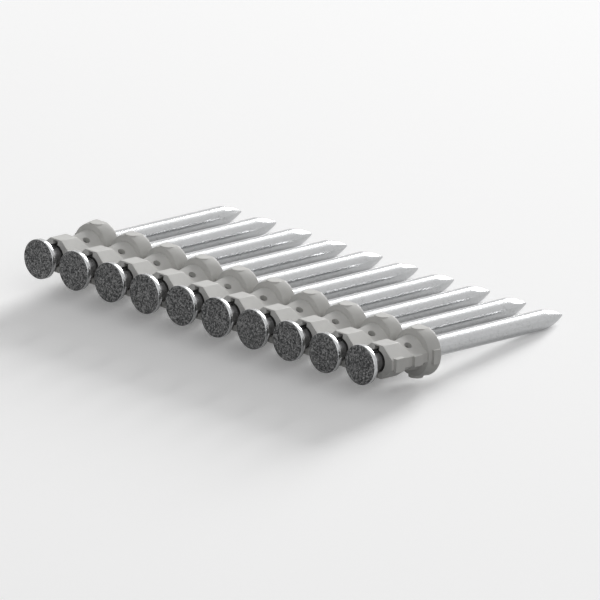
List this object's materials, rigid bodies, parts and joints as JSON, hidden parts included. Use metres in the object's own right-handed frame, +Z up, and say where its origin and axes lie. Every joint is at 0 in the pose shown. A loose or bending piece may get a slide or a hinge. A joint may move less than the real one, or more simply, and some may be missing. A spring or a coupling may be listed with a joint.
{
  "type": "strip of collated concrete nails",
  "caption": "Row of flat-headed concrete nails with smooth shanks and sharp points, held side by side by a moulded plastic carrier of ringed collars.",
  "frame": {"origin": "centre of the bottom of the bounding box, on the surface that the strip lies on", "axes": "+X along the row of nails, +Y from the heads to the points, +Z up; the nails slope down towards their points by about 7 degrees, as the strip comes to rest"},
  "size_m": [0.0736, 0.0426, 0.0092],
  "materials": {
    "plated_steel": "bright zinc plating on the shank, darker granular face on the head",
    "carrier_plastic": "satin moulded light warm grey"
  },
  "bodies": {
    "root": {"nail_01": "plated_steel", "nail_02": "plated_steel", "nail_03": "plated_steel", "nail_04": "plated_steel", "nail_05": "plated_steel", "nail_06": "plated_steel", "nail_07": "plated_steel", "nail_08": "plated_steel", "nail_09": "plated_steel", "nail_10": "plated_steel", "collation_strip": "carrier_plastic"}
  },
  "joints": []
}
